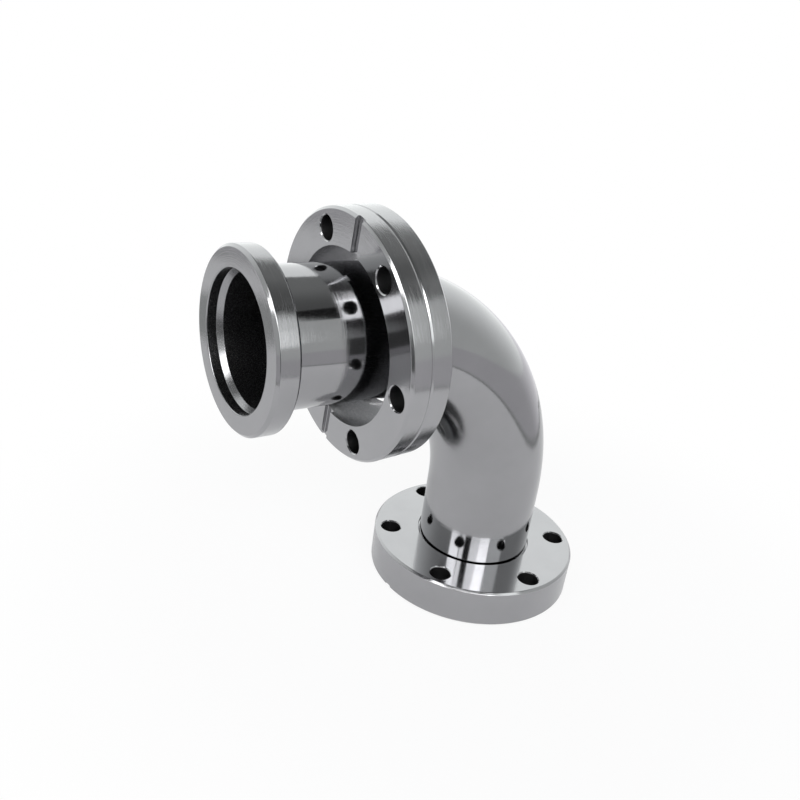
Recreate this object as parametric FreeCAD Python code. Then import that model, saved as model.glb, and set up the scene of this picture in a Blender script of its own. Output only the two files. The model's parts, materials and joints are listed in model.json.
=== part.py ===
import FreeCAD, Part
import math
import os

from FreeCAD import Vector

# Vacuum elbow: a bent tube with a fixed bolting flange at its foot and a turning one at its mouth.
# The turning flange is a hub welded to the tube and a loose bolt ring, shown slid back on the bend.
# Origin at the centre of the fixed flange's sealing face, +Z up the lower leg, mouth towards -X.

# Tube
TUBE_OD = 38.0
TUBE_WALL = 1.5
BEND_RADIUS = 60.0
LOWER_LEG = 94.0             # sealing face of the fixed flange to the upper leg's axis
UPPER_LEG = 94.3             # face of the hub to the lower leg's axis
MOUTH_BEVEL = 1.0            # inside the tube's end, behind the hub's mouth
MOUTH_BEVEL_LENGTH = 1.6

# Bolting pattern, the same on both flanges: a 48.2 mm gasket, holes on a 58.7 mm circle and
# 69.85 mm over all
GASKET_INSIDE_HUB = 0.3      # radial, the gasket's rim inside the hub's
GASKET_CLEARANCE = 0.05      # radial
GASKET_LAND = 1.85           # between the gasket's recess and the holes
BOLT_HOLE = 6.7
BOLT_COUNT = 6
RIM_LAND = 2.225             # between the holes and the rim
LEAK_GROOVE_WIDTH = 3.2
LEAK_GROOVE_DEPTH = 1.2
EDGE_CHAMFER = 0.7

# Sealing face of the fixed flange
GASKET_RECESS_DEPTH = 1.25
KNIFE_INSET = 3.15           # radial, inside the gasket's rim
KNIFE_BELOW_FACE = 0.65
KNIFE_SLOPE = 20.0           # degrees, outside the edge
WELL_DEPTH = 1.95            # inside the edge

# Fixed flange
FLANGE_THICKNESS = 12.7
TUBE_SEAT = 4.0              # height of the lip that the tube stands on
WELD_FIT = 0.03              # radial, tube in flange and hub
RELIEF_WIDTH = 0.8           # groove round the tube in the top face
RELIEF_DEPTH = 3.5

# Hub
HUB_WALL = 5.4               # radial, from the tube to its rim
HUB_THICKNESS = 6.6
HUB_MOUTH_STEP = 1.0         # radial, its mouth wider than the tube's bore
HUB_MOUTH_DEPTH = 2.8
HUB_EDGE = 0.8
HUB_MOUTH_EDGE = 0.2

# Bolt ring
RING_THICKNESS = 12.4
RING_HUB_CLEARANCE = 0.25    # radial, hub in the ring's seat
RING_GASKET_ROOM = 1.2       # the seat is deeper than the hub by this much
RING_TUBE_CLEARANCE = 1.4    # radial, tube in the ring's bore
SEAT_EDGE = 0.15             # at the seat's mouth and the bore's back
RIM_LINE_FROM_FACE = 6.0
RIM_LINE_WIDTH = 0.9
RIM_LINE_DEPTH = 0.4

# Where the loose ring hangs
RING_ON_BEND = 8.7           # how far its back has run on to the bend
RING_LEAN = 3.65             # degrees, top towards the mouth
RING_REST_GAP = 0.3          # between the tube's top and the bore that hangs on it
RING_TURN = -11.4            # degrees, from the upright

TUBE_R = TUBE_OD / 2
BORE_R = TUBE_R - TUBE_WALL
SOCKET_R = TUBE_R + WELD_FIT
HUB_R = TUBE_R + HUB_WALL
HUB_MOUTH_R = BORE_R + HUB_MOUTH_STEP
GASKET_R = HUB_R - GASKET_INSIDE_HUB
RECESS_R = GASKET_R + GASKET_CLEARANCE
KNIFE_R = GASKET_R - KNIFE_INSET
BOLT_CIRCLE_R = RECESS_R + GASKET_LAND + BOLT_HOLE / 2
FLANGE_R = BOLT_CIRCLE_R + BOLT_HOLE / 2 + RIM_LAND
RING_BORE_R = TUBE_R + RING_TUBE_CLEARANCE
RING_SEAT_R = HUB_R + RING_HUB_CLEARANCE
RING_SEAT_DEPTH = HUB_THICKNESS + RING_GASKET_ROOM
HOLE_STEP = 360 / BOLT_COUNT

UP = Vector(0, 0, 1)
OUT = Vector(-1, 0, 0)
INWARD = Vector(1, 0, 0)


def turned(points):
    """Solid turned about Z from a closed outline of (radius, height) points."""
    outline = Part.makePolygon([Vector(r, 0, z) for r, z in points + points[:1]])
    return Part.Face(outline).revolve(Vector(0, 0, 0), UP, 360)


def drilled(body, low, high, first_angle):
    """Cuts the ring of bolt holes from low to high."""
    start = Vector(BOLT_CIRCLE_R, 0, low - 1)
    hole = Part.makeCylinder(BOLT_HOLE / 2, high - low + 2, start, UP)
    holes = []
    for i in range(BOLT_COUNT):
        copy = hole.copy()
        copy.rotate(Vector(0, 0, 0), UP, first_angle + i * HOLE_STEP)
        holes.append(copy)
    return body.cut(holes)


def leak_grooves(inner_r, face, into, angle):
    """Two opposite radial grooves in the face at height face, cut towards into (+1 up, -1 down)."""
    length = FLANGE_R - inner_r + 2
    low = face - 1 if into > 0 else face - LEAK_GROOVE_DEPTH
    groove = Part.makeBox(length, LEAK_GROOVE_WIDTH, LEAK_GROOVE_DEPTH + 1,
                          Vector(inner_r - 1, -LEAK_GROOVE_WIDTH / 2, low))
    pair = []
    for turn in (angle, angle + 180):
        copy = groove.copy()
        copy.rotate(Vector(0, 0, 0), UP, turn)
        pair.append(copy)
    return pair


def fixed_flange():
    slope_run = (GASKET_RECESS_DEPTH - KNIFE_BELOW_FACE) / math.tan(math.radians(KNIFE_SLOPE))
    relief_r = SOCKET_R + RELIEF_WIDTH
    relief_floor = FLANGE_THICKNESS - RELIEF_DEPTH
    body = turned([
        (BORE_R, WELL_DEPTH),
        (KNIFE_R, WELL_DEPTH),
        (KNIFE_R, KNIFE_BELOW_FACE),
        (KNIFE_R + slope_run, GASKET_RECESS_DEPTH),
        (RECESS_R, GASKET_RECESS_DEPTH),
        (RECESS_R, 0),
        (FLANGE_R - EDGE_CHAMFER, 0),
        (FLANGE_R, EDGE_CHAMFER),
        (FLANGE_R, FLANGE_THICKNESS - EDGE_CHAMFER),
        (FLANGE_R - EDGE_CHAMFER, FLANGE_THICKNESS),
        (relief_r, FLANGE_THICKNESS),
        (relief_r, relief_floor),
        (SOCKET_R, relief_floor),
        (SOCKET_R, TUBE_SEAT),
        (BORE_R, TUBE_SEAT),
    ])
    body = drilled(body, 0, FLANGE_THICKNESS, HOLE_STEP / 2)
    return body.cut(leak_grooves(RECESS_R, 0, 1, 0))


def elbow_tube():
    bend_start = LOWER_LEG - BEND_RADIUS
    tube_end = UPPER_LEG - HUB_MOUTH_DEPTH

    def section(centre, direction):
        disc = Part.Face(Part.Wire(Part.makeCircle(TUBE_R, centre, direction)))
        bore = Part.Face(Part.Wire(Part.makeCircle(BORE_R, centre, direction)))
        return disc.cut(bore).Faces[0]

    lower = section(Vector(0, 0, TUBE_SEAT), UP).extrude(UP * (bend_start - TUBE_SEAT))
    bend = section(Vector(0, 0, bend_start), UP).revolve(Vector(-BEND_RADIUS, 0, bend_start), Vector(0, -1, 0), 90)
    upper = section(Vector(-BEND_RADIUS, 0, LOWER_LEG), OUT).extrude(OUT * (tube_end - BEND_RADIUS))
    body = lower.fuse([bend, upper]).removeSplitter()
    bevel = Part.makeCone(BORE_R + MOUTH_BEVEL, BORE_R, MOUTH_BEVEL_LENGTH,
                          Vector(-tube_end, 0, LOWER_LEG), INWARD)
    return body.cut(bevel)


def hub():
    """Turned with its sealing face at height zero and its back below it."""
    body = turned([
        (HUB_MOUTH_R + HUB_MOUTH_EDGE, 0),
        (HUB_R - HUB_EDGE, 0),
        (HUB_R, -HUB_EDGE),
        (HUB_R, -HUB_THICKNESS + HUB_EDGE),
        (HUB_R - HUB_EDGE, -HUB_THICKNESS),
        (SOCKET_R, -HUB_THICKNESS),
        (SOCKET_R, -HUB_MOUTH_DEPTH),
        (HUB_MOUTH_R, -HUB_MOUTH_DEPTH),
        (HUB_MOUTH_R, -HUB_MOUTH_EDGE),
    ])
    body.Placement = FreeCAD.Placement(Vector(-UPPER_LEG, 0, LOWER_LEG), FreeCAD.Rotation(UP, OUT))
    return body


def ring_placement():
    """Middle of the ring, and the turn that takes +Z to its axis and +X to its top."""
    lean = math.radians(RING_LEAN)
    axis = Vector(-math.cos(lean), 0, -math.sin(lean))
    top = Vector(-math.sin(lean), 0, math.cos(lean))
    middle = BEND_RADIUS - RING_ON_BEND + RING_THICKNESS / 2
    # The bore's front edge is the one that rests on the tube, where the bend has just begun.
    rest_edge = RING_THICKNESS / 2 - RING_SEAT_DEPTH
    rest_at = middle + rest_edge * math.cos(lean) + RING_BORE_R * math.sin(lean)
    past_start = max(0, BEND_RADIUS - rest_at)
    outer_r = BEND_RADIUS + TUBE_R
    tube_top = TUBE_R - outer_r + math.sqrt(outer_r ** 2 - past_start ** 2)
    drop = RING_BORE_R * math.cos(lean) - rest_edge * math.sin(lean) - tube_top - RING_REST_GAP
    turn = FreeCAD.Rotation(top, Vector(0, 1, 0), axis, "ZXY")
    return FreeCAD.Placement(Vector(-middle, 0, LOWER_LEG - drop), turn)


def bolt_ring():
    """Turned with its middle at height zero and its sealing face on top."""
    half = RING_THICKNESS / 2
    seat_floor = half - RING_SEAT_DEPTH
    line = half - RIM_LINE_FROM_FACE
    body = turned([
        (RING_BORE_R + SEAT_EDGE, -half),
        (FLANGE_R - EDGE_CHAMFER, -half),
        (FLANGE_R, -half + EDGE_CHAMFER),
        (FLANGE_R, line - RIM_LINE_WIDTH / 2),
        (FLANGE_R - RIM_LINE_DEPTH, line),
        (FLANGE_R, line + RIM_LINE_WIDTH / 2),
        (FLANGE_R, half - EDGE_CHAMFER),
        (FLANGE_R - EDGE_CHAMFER, half),
        (RING_SEAT_R + SEAT_EDGE, half),
        (RING_SEAT_R, half - SEAT_EDGE),
        (RING_SEAT_R, seat_floor),
        (RING_BORE_R, seat_floor),
        (RING_BORE_R, -half + SEAT_EDGE),
    ])
    body = drilled(body, -half, half, RING_TURN + HOLE_STEP / 2)
    body = body.cut(leak_grooves(RING_SEAT_R, half, -1, RING_TURN))
    body.Placement = ring_placement()
    return body


parts = {
    "fixed_flange": fixed_flange(),
    "elbow_tube": elbow_tube(),
    "end_hub": hub(),
    "bolt_ring": bolt_ring(),
}

os.makedirs("parts", exist_ok=True)
for name, shape in parts.items():
    shape.exportStep("parts/" + name + ".step")
    box = shape.BoundBox
    print(name, shape.isValid(), len(shape.Solids), "volume %.0f" % shape.Volume,
          "x %.2f %.2f y %.2f %.2f z %.2f %.2f" % (box.XMin, box.XMax, box.YMin, box.YMax, box.ZMin, box.ZMax))
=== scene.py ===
import json
import math

import bpy
from mathutils import Matrix, Vector


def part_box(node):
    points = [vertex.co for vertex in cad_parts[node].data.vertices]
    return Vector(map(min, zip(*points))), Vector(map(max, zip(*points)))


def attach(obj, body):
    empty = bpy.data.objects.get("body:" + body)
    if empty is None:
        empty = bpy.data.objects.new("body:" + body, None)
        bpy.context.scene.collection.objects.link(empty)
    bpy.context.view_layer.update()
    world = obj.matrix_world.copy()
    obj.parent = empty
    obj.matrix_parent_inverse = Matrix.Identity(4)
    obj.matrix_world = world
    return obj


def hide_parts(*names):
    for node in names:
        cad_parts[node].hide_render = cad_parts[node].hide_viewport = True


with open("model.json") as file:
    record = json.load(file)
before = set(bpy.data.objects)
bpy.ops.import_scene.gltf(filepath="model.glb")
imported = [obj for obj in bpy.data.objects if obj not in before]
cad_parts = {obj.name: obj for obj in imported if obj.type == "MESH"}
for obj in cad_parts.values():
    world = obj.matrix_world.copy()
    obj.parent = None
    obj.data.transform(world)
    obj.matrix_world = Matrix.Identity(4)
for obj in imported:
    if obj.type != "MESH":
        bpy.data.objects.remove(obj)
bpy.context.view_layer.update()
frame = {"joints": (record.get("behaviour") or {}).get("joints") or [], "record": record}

# Vacuum elbow in polished steel: a bent tube with a bolting flange at its foot and a hub at its
# mouth, and a loose bolt ring that hangs on the bend. Sizes in millimetres are turned to metres
# where they are named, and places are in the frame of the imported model.

MM = 0.001

# Tube
TUBE_R = 19.0 * MM
BORE_R = 17.5 * MM
BEND_RADIUS = 60.0 * MM
MOUTH_BEVEL = 1.0 * MM
MOUTH_BEVEL_LENGTH = 1.6 * MM

# Bolting pattern, the same on both flanges
BOLT_CIRCLE_R = 29.35 * MM
BOLT_HOLE_R = 3.35 * MM
BOLT_COUNT = 6
HOLE_EDGE = 0.35 * MM
LEAK_GROOVE_WIDTH = 3.2 * MM
LEAK_GROOVE_DEPTH = 1.2 * MM
EDGE_CHAMFER = 0.7 * MM

# Fixed flange
RECESS_R = 24.15 * MM
RECESS_DEPTH = 1.25 * MM
KNIFE_R = 20.95 * MM
KNIFE_BELOW_FACE = 0.65 * MM
KNIFE_SLOPE = math.radians(20)
WELL_DEPTH = 1.95 * MM
TUBE_SEAT = 4.0 * MM
RELIEF_WIDTH = 0.6 * MM
RELIEF_DEPTH = 1.4 * MM
WELD_FIT = 0.03 * MM

# Hub
HUB_MOUTH_R = 18.5 * MM
HUB_MOUTH_DEPTH = 2.8 * MM
HUB_EDGE = 0.8 * MM
HUB_MOUTH_EDGE = 0.2 * MM

# Bolt ring
RING_THICKNESS = 12.4 * MM
RING_BORE_R = 20.25 * MM
RING_SEAT_R = 24.65 * MM
RING_SEAT_DEPTH = 7.8 * MM
SEAT_EDGE = 0.15 * MM
RIM_LINE_FROM_FACE = 6.0 * MM
RIM_LINE_WIDTH = 0.9 * MM
RIM_LINE_DEPTH = 0.25 * MM
RING_TURN = math.radians(-11.4)

# Fineness of the meshes, and how they are cut and rounded
ROUND_STEPS = 192
HOLE_STEPS = 48
BEND_STEPS = 72
MERGE_DISTANCE = 0.002 * MM
CUT_OVER = 1.0 * MM
EDGE_ROUND = 0.10 * MM
HUB_EDGE_ROUND = 0.12 * MM
GROOVE_ROUND = 0.30 * MM
ROUNDED_ANGLE = math.radians(25)
SMOOTH_ANGLE = math.radians(28)

flange_low, flange_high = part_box("fixed_flange")
hub_low, hub_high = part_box("end_hub")
FLANGE_R = flange_high.x
FLANGE_THICKNESS = flange_high.z
UPPER_LEG = -hub_low.x
UPPER_AXIS_Z = (hub_low.z + hub_high.z) / 2
HUB_R = hub_high.y
HUB_THICKNESS = hub_high.x - hub_low.x
SOCKET_R = TUBE_R + WELD_FIT

UP = Vector((0, 0, 1))
OUTWARD = Vector((-1, 0, 0))
MOUTH = Vector((-UPPER_LEG, 0, UPPER_AXIS_Z))

ring_joint = frame["joints"][0]
RING_MIDDLE = Vector(ring_joint["pos_m"])
RING_AXIS = Vector(ring_joint["axis"]).normalized()
RING_TOP = Vector((RING_AXIS.z, 0, -RING_AXIS.x))


# Modelling tools

def nothing_selected():
    if bpy.context.object and bpy.context.object.mode != "OBJECT":
        bpy.ops.object.mode_set(mode="OBJECT")
    bpy.ops.object.select_all(action="DESELECT")


def only(piece):
    nothing_selected()
    piece.select_set(True)
    bpy.context.view_layer.objects.active = piece


def start_circle(name, steps, radius, height, fill_type):
    """A new piece: a level circle round Z, left selected in edit mode."""
    nothing_selected()
    bpy.ops.mesh.primitive_circle_add(vertices=steps, radius=radius, location=(0, 0, 0),
                                      fill_type=fill_type)
    piece = bpy.context.object
    piece.name = name
    bpy.ops.object.mode_set(mode="EDIT")
    bpy.ops.mesh.select_all(action="SELECT")
    bpy.ops.transform.translate(value=(0, 0, height))
    return piece


def scale_loop(factor, centre, along=(1, 1, 0)):
    """Scales the selected loop about centre, in the two directions across its axis."""
    value = [factor if scaled else 1 for scaled in along]
    bpy.ops.transform.resize(value=value, center_override=centre)


def grow_outline(outline, start_r, start_z):
    """Extrudes the selected level loop through (radius, height) points."""
    r, z = start_r, start_z
    for next_r, next_z in outline:
        bpy.ops.mesh.extrude_edges_move(TRANSFORM_OT_translate={"value": (0, 0, next_z - z)})
        if next_r != r:
            scale_loop(next_r / r, (0, 0, next_z))
        r, z = next_r, next_z


def close_and_orient():
    bpy.ops.mesh.select_all(action="SELECT")
    bpy.ops.mesh.remove_doubles(threshold=MERGE_DISTANCE)
    bpy.ops.mesh.normals_make_consistent(inside=False)


def turned(name, outline):
    """A closed body turned about Z from a closed outline of (radius, height) points."""
    r, z = outline[0]
    piece = start_circle(name, ROUND_STEPS, r, z, "NOTHING")
    grow_outline(outline[1:] + outline[:1], r, z)
    close_and_orient()
    bpy.ops.object.mode_set(mode="OBJECT")
    return piece


def plug(name, outline, steps):
    """A solid turned about Z whose outline runs from its lower end to its upper end."""
    r, z = outline[0]
    piece = start_circle(name, steps, r, z, "NGON")
    grow_outline(outline[1:], r, z)
    bpy.ops.mesh.edge_face_add()
    bpy.ops.mesh.select_all(action="SELECT")
    bpy.ops.mesh.normals_make_consistent(inside=False)
    bpy.ops.object.mode_set(mode="OBJECT")
    return piece


def modify(piece, kind, **settings):
    """Adds a modifier, sets it and applies it."""
    only(piece)
    bpy.ops.object.modifier_add(type=kind)
    modifier = piece.modifiers[-1]
    for key, value in settings.items():
        setattr(modifier, key, value)
    bpy.ops.object.modifier_apply(modifier=modifier.name)


def round_edges(piece, width, segments=2):
    modify(piece, "BEVEL", width=width, segments=segments, limit_method="ANGLE",
           angle_limit=ROUNDED_ANGLE)


def copies_round(piece, count, first_angle):
    """count copies of the piece round Z, joined into it."""
    made = [piece]
    for _ in range(count - 1):
        only(piece)
        bpy.ops.object.duplicate()
        made.append(bpy.context.object)
    for i, copy in enumerate(made):
        copy.matrix_world = Matrix.Rotation(first_angle + i * math.tau / count, 4, "Z")
    nothing_selected()
    for copy in made:
        copy.select_set(True)
    bpy.context.view_layer.objects.active = piece
    bpy.ops.object.transform_apply(location=True, rotation=True, scale=True)
    bpy.ops.object.join()
    return piece


def bolt_cutter(low, high, first_angle):
    """Six hole cutters whose ends flare, so that each hole has a small chamfer."""
    flare = HOLE_EDGE + CUT_OVER
    cutter = plug("hole_cutter", [
        (BOLT_HOLE_R + flare, low - CUT_OVER),
        (BOLT_HOLE_R, low + HOLE_EDGE),
        (BOLT_HOLE_R, high - HOLE_EDGE),
        (BOLT_HOLE_R + flare, high + CUT_OVER),
    ], HOLE_STEPS)
    only(cutter)
    bpy.ops.object.mode_set(mode="EDIT")
    bpy.ops.mesh.select_all(action="SELECT")
    bpy.ops.transform.translate(value=(BOLT_CIRCLE_R, 0, 0))
    bpy.ops.object.mode_set(mode="OBJECT")
    return copies_round(cutter, BOLT_COUNT, first_angle)


def groove_cutter(inner_r, face, first_angle):
    """Two opposite radial grooves across a face at that height, with rounded floors."""
    nothing_selected()
    start = inner_r - CUT_OVER
    end = FLANGE_R + 2 * CUT_OVER
    bpy.ops.mesh.primitive_cube_add(size=1, location=(0, 0, 0))
    cutter = bpy.context.object
    cutter.name = "groove_cutter"
    bpy.ops.object.mode_set(mode="EDIT")
    bpy.ops.mesh.select_all(action="SELECT")
    bpy.ops.transform.resize(value=(end - start, LEAK_GROOVE_WIDTH, 2 * LEAK_GROOVE_DEPTH))
    bpy.ops.transform.translate(value=((start + end) / 2, 0, face))
    bpy.ops.object.mode_set(mode="OBJECT")
    round_edges(cutter, GROOVE_ROUND, 3)
    return copies_round(cutter, 2, first_angle)


def cut(piece, cutter):
    modify(piece, "BOOLEAN", operation="DIFFERENCE", solver="EXACT", object=cutter)
    bpy.data.objects.remove(cutter)


def finish_shading(piece):
    """Smooth round the curves, with flat faces kept flat."""
    only(piece)
    bpy.ops.object.shade_smooth_by_angle(angle=SMOOTH_ANGLE)
    modify(piece, "WEIGHTED_NORMAL", mode="FACE_AREA", weight=100, keep_sharp=True)


def placement(place, axis, top):
    """Takes +Z to axis and +X to top, with the origin at place."""
    side = axis.cross(top)
    turn = Matrix((top, side, axis)).transposed().to_4x4()
    return Matrix.Translation(place) @ turn


def put(piece, matrix):
    """Moves the piece's mesh, and leaves its object at the origin."""
    only(piece)
    piece.matrix_world = matrix
    bpy.ops.object.transform_apply(location=True, rotation=True, scale=True)


# Pieces

def make_flange():
    """The foot, with its sealing face at height zero."""
    slope_run = (RECESS_DEPTH - KNIFE_BELOW_FACE) / math.tan(KNIFE_SLOPE)
    relief_r = SOCKET_R + RELIEF_WIDTH
    relief_floor = FLANGE_THICKNESS - RELIEF_DEPTH
    flange = turned("flange", [
        (BORE_R, WELL_DEPTH),
        (KNIFE_R, WELL_DEPTH),
        (KNIFE_R, KNIFE_BELOW_FACE),
        (KNIFE_R + slope_run, RECESS_DEPTH),
        (RECESS_R, RECESS_DEPTH),
        (RECESS_R, 0),
        (FLANGE_R - EDGE_CHAMFER, 0),
        (FLANGE_R, EDGE_CHAMFER),
        (FLANGE_R, FLANGE_THICKNESS - EDGE_CHAMFER),
        (FLANGE_R - EDGE_CHAMFER, FLANGE_THICKNESS),
        (relief_r, FLANGE_THICKNESS),
        (relief_r, relief_floor),
        (SOCKET_R, relief_floor),
        (SOCKET_R, TUBE_SEAT),
        (BORE_R, TUBE_SEAT),
    ])
    round_edges(flange, EDGE_ROUND)
    cut(flange, bolt_cutter(0, FLANGE_THICKNESS, math.pi / BOLT_COUNT))
    cut(flange, groove_cutter(RECESS_R, 0, 0))
    finish_shading(flange)
    return flange


def make_tube():
    """One loop, carried up the outside of the tube and back down its bore."""
    bend_start = UPPER_AXIS_Z - BEND_RADIUS
    bend_end = -BEND_RADIUS
    mouth = -(UPPER_LEG - HUB_MOUTH_DEPTH)
    bend_centre = (-BEND_RADIUS, 0, bend_start)
    mouth_centre = (mouth, 0, UPPER_AXIS_Z)
    across_upper = (0, 1, 1)
    bevelled_r = BORE_R + MOUTH_BEVEL
    tube = start_circle("tube", ROUND_STEPS, TUBE_R, TUBE_SEAT, "NOTHING")

    def extrude(x, z):
        bpy.ops.mesh.extrude_edges_move(TRANSFORM_OT_translate={"value": (x, 0, z)})

    def spin(angle):
        bpy.ops.mesh.spin(steps=BEND_STEPS, angle=angle, center=bend_centre, axis=(0, 1, 0))

    extrude(0, bend_start - TUBE_SEAT)
    spin(math.pi / 2)
    extrude(mouth - bend_end, 0)
    extrude(0, 0)
    scale_loop(bevelled_r / TUBE_R, mouth_centre, across_upper)
    extrude(MOUTH_BEVEL_LENGTH, 0)
    scale_loop(BORE_R / bevelled_r, mouth_centre, across_upper)
    extrude(bend_end - mouth - MOUTH_BEVEL_LENGTH, 0)
    spin(-math.pi / 2)
    extrude(0, TUBE_SEAT - bend_start)
    extrude(0, 0)
    scale_loop(TUBE_R / BORE_R, (0, 0, TUBE_SEAT))
    close_and_orient()
    bpy.ops.object.mode_set(mode="OBJECT")
    round_edges(tube, EDGE_ROUND)
    finish_shading(tube)
    return tube


def make_hub():
    """Turned with its sealing face at height zero and its back below it, then put on the mouth."""
    hub = turned("hub", [
        (HUB_MOUTH_R + HUB_MOUTH_EDGE, 0),
        (HUB_R - HUB_EDGE, 0),
        (HUB_R, -HUB_EDGE),
        (HUB_R, -HUB_THICKNESS + HUB_EDGE),
        (HUB_R - HUB_EDGE, -HUB_THICKNESS),
        (SOCKET_R, -HUB_THICKNESS),
        (SOCKET_R, -HUB_MOUTH_DEPTH),
        (HUB_MOUTH_R, -HUB_MOUTH_DEPTH),
        (HUB_MOUTH_R, -HUB_MOUTH_EDGE),
    ])
    round_edges(hub, HUB_EDGE_ROUND)
    finish_shading(hub)
    put(hub, placement(MOUTH, OUTWARD, UP))
    return hub


def make_ring():
    """Turned with its middle at height zero and its sealing face on top, then hung in place."""
    half = RING_THICKNESS / 2
    seat_floor = half - RING_SEAT_DEPTH
    line = half - RIM_LINE_FROM_FACE
    ring = turned("ring", [
        (RING_BORE_R + SEAT_EDGE, -half),
        (FLANGE_R - EDGE_CHAMFER, -half),
        (FLANGE_R, -half + EDGE_CHAMFER),
        (FLANGE_R, line - RIM_LINE_WIDTH / 2),
        (FLANGE_R - RIM_LINE_DEPTH, line),
        (FLANGE_R, line + RIM_LINE_WIDTH / 2),
        (FLANGE_R, half - EDGE_CHAMFER),
        (FLANGE_R - EDGE_CHAMFER, half),
        (RING_SEAT_R + SEAT_EDGE, half),
        (RING_SEAT_R, half - SEAT_EDGE),
        (RING_SEAT_R, seat_floor),
        (RING_BORE_R, seat_floor),
        (RING_BORE_R, -half + SEAT_EDGE),
    ])
    round_edges(ring, EDGE_ROUND)
    cut(ring, bolt_cutter(-half, half, RING_TURN + math.pi / BOLT_COUNT))
    cut(ring, groove_cutter(RING_SEAT_R, half, RING_TURN))
    finish_shading(ring)
    put(ring, placement(RING_MIDDLE, RING_AXIS, RING_TOP))
    return ring


# Materials

class Value:
    """A shader socket that takes part in arithmetic; each operation adds its Math node."""

    def __init__(self, paint, socket):
        self.paint = paint
        self.socket = socket

    def math(self, operation, *values):
        return self.paint.node("ShaderNodeMath", {"operation": operation}, dict(enumerate(values)))

    def __add__(self, other):
        return self.math("ADD", self, other)

    def __radd__(self, other):
        return self.math("ADD", other, self)

    def __sub__(self, other):
        return self.math("SUBTRACT", self, other)

    def __rsub__(self, other):
        return self.math("SUBTRACT", other, self)

    def __mul__(self, other):
        return self.math("MULTIPLY", self, other)

    def __rmul__(self, other):
        return self.math("MULTIPLY", other, self)

    def __truediv__(self, other):
        return self.math("DIVIDE", self, other)

    def __pow__(self, other):
        return self.math("POWER", self, other)

    def at_least(self, other):
        return self.math("MAXIMUM", self, other)

    def at_most(self, other):
        return self.math("MINIMUM", self, other)


class Paint:
    """A node tree with one way to add a node."""

    def __init__(self, tree):
        self.tree = tree
        self.tree.nodes.clear()

    def node(self, kind, settings=None, inputs=None, output=0):
        """Adds a node, and gives the socket it puts out, if it has one."""
        made = self.tree.nodes.new(kind)
        for key, value in (settings or {}).items():
            setattr(made, key, value)
        for key, value in (inputs or {}).items():
            if isinstance(value, Value):
                self.tree.links.new(value.socket, made.inputs[key])
            else:
                made.inputs[key].default_value = value
        return Value(self, made.outputs[output]) if made.outputs else None

    def ray(self, kind):
        return self.node("ShaderNodeLightPath", output=kind)

    def vector(self, operation, first, second, output=0):
        return self.node("ShaderNodeVectorMath", {"operation": operation}, {0: first, 1: second},
                         output)

    def dot(self, first, second):
        return self.vector("DOT_PRODUCT", first, tuple(second), "Value")

    def point(self, x, y, z):
        return self.node("ShaderNodeCombineXYZ", {}, {0: x, 1: y, 2: z})

    def noise(self, place, scale, detail, roughness=0.5):
        return self.node("ShaderNodeTexNoise", {}, {
            "Vector": place, "Scale": scale, "Detail": detail, "Roughness": roughness})

    def step(self, value, low, high):
        """0 below low and 1 above high, softly."""
        return self.node("ShaderNodeMapRange", {"interpolation_type": "SMOOTHSTEP"}, {
            "Value": value, "From Min": low, "From Max": high, "To Min": 0.0, "To Max": 1.0})

    def grey(self, colour, shade):
        """A colour times a changing number."""
        return self.vector("MULTIPLY", self.point(shade, shade, shade), tuple(colour))


def new_paint(name):
    material = bpy.data.materials.new(name)
    material.use_nodes = True
    return material, Paint(material.node_tree)


# How deep the marks of turning and drawing are, and the slow waves of a polished face
FACE_MARKS = 0.010 * MM
RIM_MARKS = 0.021 * MM
TUBE_MARKS = 0.009 * MM
WAVES = 0.030 * MM

# How closely they repeat, to the metre or to the radian
OUTWARD_SCALE = 3500.0
ALONG_SCALE = 7500.0
ROUND_SCALE = 0.9
TUBE_ALONG_SCALE = 2600.0
TUBE_ROUND_SCALE = 1.2
WAVE_SCALE = 70.0
SMUDGE_SCALE = 45.0
SPECK_SCALE = 7000.0
SPECK_LEVELS = (0.55, 0.70)          # noise where a speck starts, and where it is full

# Roughness: a clean mirror, and what each thing adds to it
MIRROR = 0.05
SMUDGE_DULL = 0.07
SPECK_DULL = 0.08
RIM_DULL = 0.05
INSIDE_DULL = 0.14
TUBE_INSIDE_DULL = 0.15
DRILLED_DULL = 0.35
MOST_DULL = 0.7

# Shade of the steel on each piece (the hub's and the tube's are painted shade), and the painted
# shade that darkens bores and bolt holes
FLANGE_SHADE = 1.0
# The hub and the tube are darkened as a whole: painted shade for the dimmer surroundings they
# reflect.
HUB_PAINTED_SHADE = 0.92
RING_SHADE = 1.0
TUBE_PAINTED_SHADE = 0.93
INSIDE_PAINTED_SHADE = 0.05
HOLE_PAINTED_SHADE = 0.78
CLEAN_TONE = 0.88
SMUDGE_TONE = 0.22

# How soft the borders between those are
INSIDE_BORDER = 0.10 * MM
RIM_STARTS = 0.35 * MM
RIM_FULL = 0.05 * MM
DRILLED_AND_SHADED_FULL = 0.02 * MM
DRILLED_AND_SHADED_ENDS = 0.12 * MM
TUBE_INSIDE_FULL = 0.9 * MM
TUBE_INSIDE_ENDS = 0.3 * MM


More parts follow.
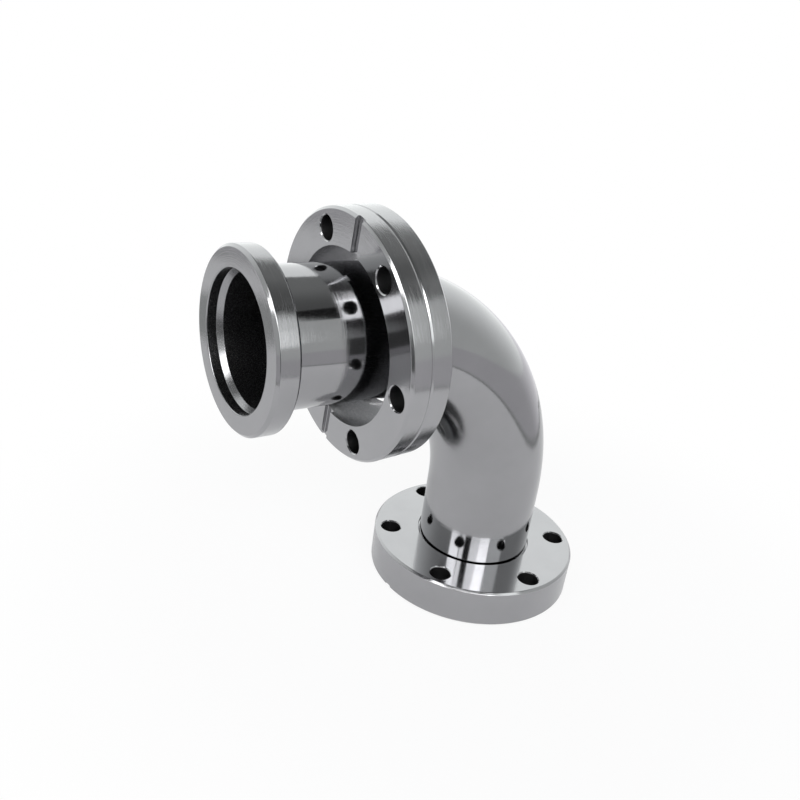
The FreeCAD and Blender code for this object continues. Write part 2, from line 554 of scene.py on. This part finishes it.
def polished(paint, place, colour, across, depth, shade, dull):
    """Steel whose fine marks run along lines where across is level.

    depth is how deep the marks are, shade darkens the colour (painted shade in bores and bolt
    holes, and on the hub and tube), and dull adds roughness.
    """
    marks = paint.noise(across, 1.0, detail=3.0, roughness=0.65)
    waves = paint.noise(place, WAVE_SCALE, detail=1.0)
    smudges = paint.noise(place, SMUDGE_SCALE, detail=4.0, roughness=0.6)
    specks = paint.noise(place, SPECK_SCALE, detail=1.0)
    marked = paint.node("ShaderNodeBump", {}, {
        "Height": marks * depth + waves * WAVES, "Strength": 1.0, "Distance": 1.0})
    haze = paint.step(specks, *SPECK_LEVELS)
    rough = (MIRROR + SMUDGE_DULL * smudges + SPECK_DULL * haze + dull).at_most(MOST_DULL)
    tone = (CLEAN_TONE + SMUDGE_TONE * smudges) * shade
    shader = paint.node("ShaderNodeBsdfPrincipled", {}, {
        "Base Color": paint.grey(colour, tone),
        "Metallic": 1.0,
        "Roughness": rough,
        "Normal": marked,
    })
    paint.node("ShaderNodeOutputMaterial", {}, {"Surface": shader})


def turned_steel(name, colour, middle, axis, top, inner_r, outer_r, shade, first_hole=None):
    """Steel turned round an axis: polished faces, a rim with deeper marks, and bolt holes and bore
    darkened with painted shade.

    first_hole is the angle from top to a bolt hole, on a piece that has them.
    """
    material, paint = new_paint(name)
    place = paint.node("ShaderNodeTexCoord", output="Object")
    local = paint.vector("SUBTRACT", place, tuple(middle))
    along = paint.dot(local, axis)
    x = paint.dot(local, top)
    y = paint.dot(local, axis.cross(top))
    out = (x * x + y * y) ** 0.5
    angle = y.math("ARCTAN2", y, x)
    across = paint.point(out * OUTWARD_SCALE, along * ALONG_SCALE, angle * ROUND_SCALE)
    inside = 1.0 - paint.step(out, inner_r, inner_r + INSIDE_BORDER)
    rim = paint.step(out, outer_r - RIM_STARTS, outer_r - RIM_FULL)
    depth = FACE_MARKS + (RIM_MARKS - FACE_MARKS) * rim
    # Painted shade: the bore is darkened.
    shade = shade - INSIDE_PAINTED_SHADE * inside
    dull = INSIDE_DULL * inside + RIM_DULL * rim
    if first_hole is not None:
        sixth = math.tau / BOLT_COUNT
        turn = (angle - first_hole) / sixth
        off = (turn - turn.math("ROUND", turn)) * sixth
        hole_x = out * off.math("COSINE", off) - BOLT_CIRCLE_R
        hole_y = out * off.math("SINE", off)
        from_hole = (hole_x * hole_x + hole_y * hole_y) ** 0.5
        # Bolt holes are darkened with painted shade, and made rougher as drilled.
        drilled_and_shaded = 1.0 - paint.step(from_hole, BOLT_HOLE_R + DRILLED_AND_SHADED_FULL,
                                   BOLT_HOLE_R + DRILLED_AND_SHADED_ENDS)
        shade = shade * (1.0 - HOLE_PAINTED_SHADE * drilled_and_shaded)
        dull = dull + DRILLED_DULL * drilled_and_shaded
    polished(paint, place, colour, across, depth, shade, dull)
    return material


def drawn_steel(name, colour):
    """Steel tube, polished round, and duller in its bore, which is also darkened with painted
    shade.
    """
    material, paint = new_paint(name)
    place = paint.node("ShaderNodeTexCoord", output="Object")
    x, y, z = (paint.dot(place, way) for way in ((1, 0, 0), (0, 1, 0), (0, 0, 1)))
    over = x + BEND_RADIUS
    up = z - (UPPER_AXIS_Z - BEND_RADIUS)
    over_bend, up_bend = over.at_least(0.0), up.at_least(0.0)
    off_line = (over_bend * over_bend + up_bend * up_bend) ** 0.5 - BEND_RADIUS
    angle = y.math("ARCTAN2", y, off_line)
    turn = up_bend.math("ARCTAN2", up_bend, over_bend)
    run = turn * BEND_RADIUS + up.at_most(0.0) - over.at_most(0.0)
    out = (off_line * off_line + y * y) ** 0.5
    across = paint.point(run * TUBE_ALONG_SCALE, angle * TUBE_ROUND_SCALE, 0.0)
    inside = 1.0 - paint.step(out, BORE_R + TUBE_INSIDE_FULL, TUBE_R - TUBE_INSIDE_ENDS)
    # Painted shade: the whole tube is darkened, and its bore more so.
    polished(paint, place, colour, across, TUBE_MARKS, TUBE_PAINTED_SHADE - INSIDE_PAINTED_SHADE * inside,
             TUBE_INSIDE_DULL * inside)
    return material


def dress(piece, material, node, body):
    piece.data.materials.clear()
    piece.data.materials.append(material)
    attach(piece, body)
    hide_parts(node)


colours = {m["slot"]: m["base_color"] for m in frame["record"]["materials"]}

flange = make_flange()
tube = make_tube()
hub = make_hub()
ring = make_ring()

flange_steel = turned_steel("flange_steel", colours["flange_steel"], Vector(), UP,
                            Vector((1, 0, 0)), SOCKET_R + INSIDE_BORDER, FLANGE_R,
                            FLANGE_SHADE, math.pi / BOLT_COUNT)
tube_steel = drawn_steel("tube_steel", colours["tube_steel"])
# The hub's steel is darkened as a whole with painted shade.
hub_steel = turned_steel("hub_steel", colours["hub_steel"], MOUTH, OUTWARD, UP,
                         HUB_MOUTH_R + INSIDE_BORDER, HUB_R, HUB_PAINTED_SHADE)
ring_steel = turned_steel("ring_steel", colours["ring_steel"], RING_MIDDLE, RING_AXIS, RING_TOP,
                          RING_SEAT_R + INSIDE_BORDER, FLANGE_R, RING_SHADE,
                          RING_TURN + math.pi / BOLT_COUNT)

dress(flange, flange_steel, "fixed_flange", "elbow")
dress(tube, tube_steel, "elbow_tube", "elbow")
dress(hub, hub_steel, "end_hub", "elbow")
dress(ring, ring_steel, "bolt_ring", "bolt_ring")


# Floor, light and room. Angles are in degrees: the azimuth is from +X towards +Y.

WHITE = (1, 1, 1, 1)
ROOM_R = 1.5
ROOM_HEIGHT = 1.75
ROOM_STEPS = 96
ROOM_TINT = (0.985, 1.01, 1.0)
ELBOW_MIDDLE = Vector((-30, 0, 90)) * MM
CARD_DISTANCE = 1.1
LIGHT_DISTANCE = 1.15

# The white sheet that the elbow stands on, squared to the camera, and the darker line round it
SHEET_TURN = math.radians(-39)
SHEET_LEFT = -0.45
SHEET_RIGHT = 0.15
SHEET_NEAR = -0.23
SHEET_BACK = 0.20
SHEET_EDGE = 0.018

# The floor: how far it lies below the foot and stops short of the wall, its colour under the
# lights, the share of that which the camera sees near the elbow, where its shadow falls, and how
# white it is by way of metal and glass
FLOOR_DROP = 0.2 * MM
FLOOR_SHORT = 0.01
FLOOR_COLOUR = (0.76, 0.755, 0.775, 1)
FLOOR_ROUGHNESS = 0.9
FLOOR_TINT = (0.995, 0.985, 1.02)
SHADOW_SHARE = 0.10
SHADOW_NEAR = 0.08
SHADOW_FAR = 0.19
MIRRORED_WHITE = 0.35


# Greys of the room, and the side towards which each is lighter, as room_surface reads them
WALL_GREY = 0.70
WALL_LIGHTER = (66, -0.10, 0.95, 0.72)
CEILING_GREY = 0.15
CEILING_LIGHTER = (60, -0.3, 0.9, 0.15)
SHEET_EDGE_GREY = 0.40
FAR_FLOOR_GREY = 0.61
FAR_FLOOR_LIGHTER = (45, 0.4, 0.95, 0.40)
WORLD_GREY = (0.45, 0.45, 0.46, 1)


def direction(azimuth, elevation):
    a, e = math.radians(azimuth), math.radians(elevation)
    return Vector((math.cos(a) * math.cos(e), math.sin(a) * math.cos(e), math.sin(e)))


def spanned(angle, distance):
    """How wide a thing at that distance is, to fill that angle."""
    return 2 * distance * math.tan(math.radians(angle / 2))


def pale_floor():
    """White to the camera, and mostly so by way of metal; the rest is the sheet as it is lit."""
    nothing_selected()
    bpy.ops.mesh.primitive_circle_add(vertices=ROOM_STEPS, radius=ROOM_R - FLOOR_SHORT,
                                      location=(0, 0, -FLOOR_DROP), fill_type="NGON")
    floor = bpy.context.object
    floor.name = "floor"
    material, paint = new_paint("floor_paint")
    where = paint.node("ShaderNodeNewGeometry", output="Position")
    far = paint.step(paint.vector("LENGTH", where, (0, 0, 0), "Value"), SHADOW_NEAR, SHADOW_FAR)
    white_share = (paint.ray("Is Camera Ray") * (1.0 - SHADOW_SHARE + SHADOW_SHARE * far)
                   + MIRRORED_WHITE * paint.ray("Is Glossy Ray")
                   + MIRRORED_WHITE * paint.ray("Is Transmission Ray")).at_most(1.0)
    matt = paint.node("ShaderNodeBsdfPrincipled", {}, {
        "Base Color": FLOOR_COLOUR, "Roughness": FLOOR_ROUGHNESS})
    white = paint.node("ShaderNodeEmission", {}, {"Color": WHITE, "Strength": 1.0})
    both = paint.node("ShaderNodeMixShader", {}, {0: white_share, 1: matt, 2: white})
    paint.node("ShaderNodeOutputMaterial", {}, {"Surface": both})
    floor.data.materials.append(material)


def room_surface(piece, name, tint, grey, lighter=None):
    """A glowing part of the room, which the camera alone doesn't see.

    lighter is (azimuth, start, end, change): how much lighter it is towards there, from none where
    the cosine of the angle to that side is start, to all of the change where it is end.
    """
    material, paint = new_paint(name)
    if lighter:
        azimuth, start, end, change = lighter
        side = math.radians(azimuth)
        where = paint.node("ShaderNodeNewGeometry", output="Position")
        level = paint.vector("MULTIPLY", where, (1, 1, 0))
        way = paint.vector("NORMALIZE", level, (0, 0, 0))
        towards = paint.dot(way, (math.cos(side), math.sin(side), 0))
        colour = paint.grey(tint, grey + change * paint.step(towards, start, end))
    else:
        colour = (*(grey * part for part in tint), 1)
    light = paint.node("ShaderNodeEmission", {}, {"Color": colour, "Strength": 1.0})
    paint.node("ShaderNodeOutputMaterial", {}, {"Surface": light})
    piece.name = name
    piece.data.materials.append(material)
    piece.visible_camera = False


def sheet_frame(start, end):
    """The floor round the sheet, between those distances from its sides."""
    middle = ((SHEET_LEFT + SHEET_RIGHT) / 2, (SHEET_NEAR + SHEET_BACK) / 2, 0)
    width, length = SHEET_RIGHT - SHEET_LEFT, SHEET_BACK - SHEET_NEAR
    inner = (width + 2 * start, length + 2 * start)
    outer = (width + 2 * end, length + 2 * end)
    nothing_selected()
    bpy.ops.mesh.primitive_plane_add(size=1, location=(0, 0, 0))
    piece = bpy.context.object
    bpy.ops.object.mode_set(mode="EDIT")
    bpy.ops.mesh.select_all(action="SELECT")
    bpy.ops.mesh.delete(type="ONLY_FACE")
    bpy.ops.mesh.select_all(action="SELECT")
    bpy.ops.transform.resize(value=(*inner, 1))
    bpy.ops.transform.translate(value=middle)
    bpy.ops.mesh.extrude_edges_move(TRANSFORM_OT_translate={"value": (0, 0, 0)})
    bpy.ops.transform.resize(value=(outer[0] / inner[0], outer[1] / inner[1], 1),
                             center_override=middle)
    bpy.ops.object.mode_set(mode="OBJECT")
    put(piece, Matrix.Rotation(SHEET_TURN, 4, "Z"))
    return piece


def make_room():
    nothing_selected()
    bpy.ops.mesh.primitive_cylinder_add(vertices=ROOM_STEPS, radius=ROOM_R, depth=ROOM_HEIGHT,
                                        end_fill_type="NOTHING", location=(0, 0, ROOM_HEIGHT / 2))
    room_surface(bpy.context.object, "room_wall", ROOM_TINT, WALL_GREY, WALL_LIGHTER)
    nothing_selected()
    bpy.ops.mesh.primitive_circle_add(vertices=ROOM_STEPS, radius=ROOM_R,
                                      location=(0, 0, ROOM_HEIGHT), fill_type="NGON")
    room_surface(bpy.context.object, "room_ceiling", ROOM_TINT, CEILING_GREY, CEILING_LIGHTER)
    room_surface(sheet_frame(0, SHEET_EDGE), "sheet_edge", ROOM_TINT, SHEET_EDGE_GREY)
    room_surface(sheet_frame(SHEET_EDGE, ROOM_R), "far_floor", FLOOR_TINT, FAR_FLOOR_GREY,
                 FAR_FLOOR_LIGHTER)


def card(name, azimuth, elevation, across, up, shade, distance=CARD_DISTANCE):
    """A flat card of that shade, as wide and high as those angles, facing the elbow."""
    nothing_selected()
    bpy.ops.mesh.primitive_plane_add(size=1, location=(0, 0, 0))
    flat = bpy.context.object
    away = direction(azimuth, elevation)
    size = Matrix.Diagonal((spanned(across, distance), spanned(up, distance), 1, 1))
    facing = away.to_track_quat("Z", "Y").to_matrix().to_4x4()
    put(flat, Matrix.Translation(ELBOW_MIDDLE + away * distance) @ facing @ size)
    room_surface(flat, name, ROOM_TINT, shade)


def make_world():
    """White to the camera, and by way of metal and glass; a soft grey light otherwise."""
    world = bpy.data.worlds.new("studio")
    bpy.context.scene.world = world
    world.use_nodes = True
    sky = Paint(world.node_tree)
    seen = (sky.ray("Is Camera Ray") + sky.ray("Is Glossy Ray")
            + sky.ray("Is Transmission Ray")).at_most(1.0)
    grey = sky.node("ShaderNodeBackground", {}, {"Color": WORLD_GREY, "Strength": 1.0})
    white = sky.node("ShaderNodeBackground", {}, {"Color": WHITE, "Strength": 1.0})
    mix = sky.node("ShaderNodeMixShader", {}, {0: seen, 1: grey, 2: white})
    sky.node("ShaderNodeOutputWorld", {}, {"Surface": mix})


def soft_light(name, azimuth, elevation, across, up, brightness):
    """A soft box round the elbow, as wide and high as those angles, facing it."""
    lamp = bpy.data.lights.new(name, "AREA")
    lamp.shape = "RECTANGLE"
    lamp.size = spanned(across, LIGHT_DISTANCE)
    lamp.size_y = spanned(up, LIGHT_DISTANCE)
    lamp.energy = brightness * math.pi * lamp.size * lamp.size_y
    box = bpy.data.objects.new(name, lamp)
    bpy.context.scene.collection.objects.link(box)
    away = direction(azimuth, elevation)
    box.location = ELBOW_MIDDLE + away * LIGHT_DISTANCE
    box.rotation_mode = "QUATERNION"
    box.rotation_quaternion = away.to_track_quat("Z", "Y")
    box.visible_camera = False


pale_floor()
make_room()
card("dark_card", -49, 45, 12, 14, 0.02)
card("fill_card", -101, 18, 16, 18, 2.3)
card("side_card", -79, 19, 24, 17, 2.3)
card("upper_side_card", -79, 36.5, 24, 18, 1.8)
card("front_card", -130, -4, 34, 22, 0.14, 0.33)
card("camera_card", -135.5, 18, 13, 22, 0.03, 0.22)
card("low_card", 123, -15.0, 22, 5.0, 0.45, 0.274)
make_world()
soft_light("key_light_left", -167, 39, 17, 22, 5.0)
soft_light("key_light_middle", -135.5, 39, 33.5, 22, 3.5)
soft_light("key_light_right", -105, 37, 18, 18, 6.6)


# Camera, fitted to the photo

CAMERA_AIM = Vector((-10, 0, 55)) * MM
CAMERA_DISTANCE = 263.1 * MM
CAMERA_AZIMUTH = -132.97
CAMERA_ELEVATION = 25.2
CAMERA_ROLL = math.radians(10.41)
PICTURE = 800                        # pixels each way
FOCAL_PIXELS = 799.7
AIM_PIXEL = (470.37, 430.04)         # where the aimed point stands in the picture
SENSOR_WIDTH = 36                    # millimetres
CLIP_START = 0.01
CLIP_END = 20


def make_camera():
    back = direction(CAMERA_AZIMUTH, CAMERA_ELEVATION)
    right = UP.cross(back).normalized()
    up = back.cross(right)
    rolled_right = math.cos(CAMERA_ROLL) * right + math.sin(CAMERA_ROLL) * up
    rolled_up = -math.sin(CAMERA_ROLL) * right + math.cos(CAMERA_ROLL) * up
    turn = Matrix((rolled_right, rolled_up, back)).transposed()
    # The lens axis keeps to the picture's middle, so the camera turns until the aim is off it.
    off_x, off_y = ((pixel - PICTURE / 2) / FOCAL_PIXELS for pixel in AIM_PIXEL)
    aim = Vector((off_x, -off_y, -1)).normalized()
    swing = Vector((0, 0, -1)).rotation_difference(aim).to_matrix()
    camera = bpy.data.objects.new("camera", bpy.data.cameras.new("camera"))
    bpy.context.scene.collection.objects.link(camera)
    camera.data.sensor_width = SENSOR_WIDTH
    camera.data.lens = SENSOR_WIDTH * FOCAL_PIXELS / PICTURE
    camera.data.clip_start = CLIP_START
    camera.data.clip_end = CLIP_END
    camera.matrix_world = (Matrix.Translation(CAMERA_AIM + back * CAMERA_DISTANCE)
                           @ (turn @ swing.inverted()).to_4x4())
    bpy.context.scene.camera = camera


make_camera()

bpy.context.scene.view_settings.view_transform = "Standard"
